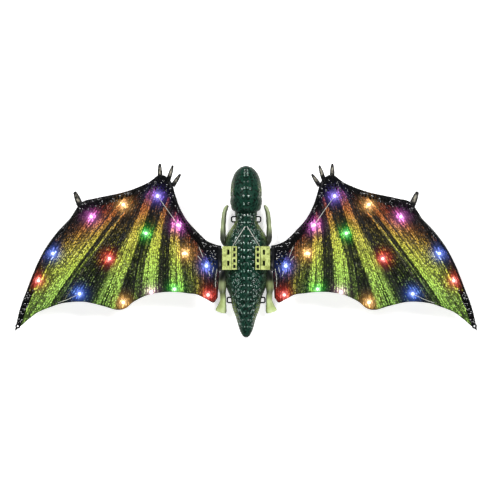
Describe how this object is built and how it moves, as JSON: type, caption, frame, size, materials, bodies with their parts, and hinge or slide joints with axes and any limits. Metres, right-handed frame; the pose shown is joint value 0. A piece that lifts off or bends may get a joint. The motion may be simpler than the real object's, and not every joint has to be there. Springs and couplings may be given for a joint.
{
  "type": "light-up dinosaur costume wings",
  "caption": "Moulded dinosaur back unit worn on straps, with a pair of scaly bat-like wings that swing up and down together and carry coloured lamps.",
  "frame": {"origin": "on the flat back plate's outer face, on the spine, level with the two wing pivots", "axes": "+X to the right wing tip, +Y along the spine to the snout, +Z away from the wearer's back"},
  "size_m": [0.7468, 0.2808, 0.0537],
  "materials": {
    "body_green": "glossy moulded scales, dark green with paler tops",
    "plate_dark": "plain matt",
    "limb_green": "satin, light green fading to dark at the shoulders",
    "bracket_lime": "smooth satin",
    "loop_black": "glossy black green",
    "pin_steel": "plain turned",
    "lead_wire": "pale insulated wire",
    "wing_skin": "moulded scaly sheet, black limb, sprayed orange, yellow and green ribs",
    "lamp_violet": "clear tinted dome, lit",
    "lamp_amber": "clear tinted dome, lit",
    "lamp_magenta": "clear tinted dome, lit",
    "lamp_green": "clear tinted dome, lit",
    "lamp_blue": "clear tinted dome, lit",
    "lamp_red": "clear tinted dome, lit",
    "lamp_pink": "clear tinted dome, lit"
  },
  "bodies": {
    "body": {"body_shell": "body_green", "head": "body_green", "back_plate": "plate_dark", "arm_left": "limb_green", "leg_left": "limb_green", "wing_bracket_left": "bracket_lime", "bracket_rail_left": "bracket_lime", "pivot_pin_left": "pin_steel", "lead_wire_left": "lead_wire", "strap_loop_neck_left": "loop_black", "strap_loop_hip_left": "loop_black", "arm_right": "limb_green", "leg_right": "limb_green", "wing_bracket_right": "bracket_lime", "bracket_rail_right": "bracket_lime", "pivot_pin_right": "pin_steel", "lead_wire_right": "lead_wire", "strap_loop_neck_right": "loop_black", "strap_loop_hip_right": "loop_black"},
    "left_wing": {"wing_left": "wing_skin", "led_left_01": "lamp_violet", "led_left_02": "lamp_amber", "led_left_03": "lamp_magenta", "led_left_04": "lamp_magenta", "led_left_05": "lamp_green", "led_left_06": "lamp_blue", "led_left_07": "lamp_amber", "led_left_08": "lamp_red", "led_left_09": "lamp_red", "led_left_10": "lamp_blue", "led_left_11": "lamp_amber", "led_left_12": "lamp_pink", "led_left_13": "lamp_green", "led_left_14": "lamp_blue", "led_left_15": "lamp_red"},
    "right_wing": {"wing_right": "wing_skin", "led_right_01": "lamp_violet", "led_right_02": "lamp_amber", "led_right_03": "lamp_magenta", "led_right_04": "lamp_magenta", "led_right_05": "lamp_green", "led_right_06": "lamp_blue", "led_right_07": "lamp_amber", "led_right_08": "lamp_red", "led_right_09": "lamp_red", "led_right_10": "lamp_blue", "led_right_11": "lamp_amber", "led_right_12": "lamp_pink", "led_right_13": "lamp_green", "led_right_14": "lamp_blue", "led_right_15": "lamp_red"}
  },
  "joints": [
    {"name": "right_wing_swing", "type": "hinge", "parent": "body", "child": "right_wing", "pos_m": [0.0335, 0, 0.0465], "axis": [0, 0, 1], "range_deg": [-32, 34]},
    {"name": "left_wing_swing", "type": "hinge", "parent": "body", "child": "left_wing", "pos_m": [-0.0335, 0, 0.0465], "axis": [0, 0, -1], "range_deg": [-32, 34]}
  ],
  "couplings": [
    {"joint": "left_wing_swing", "follows": "right_wing_swing", "ratio": 1}
  ]
}
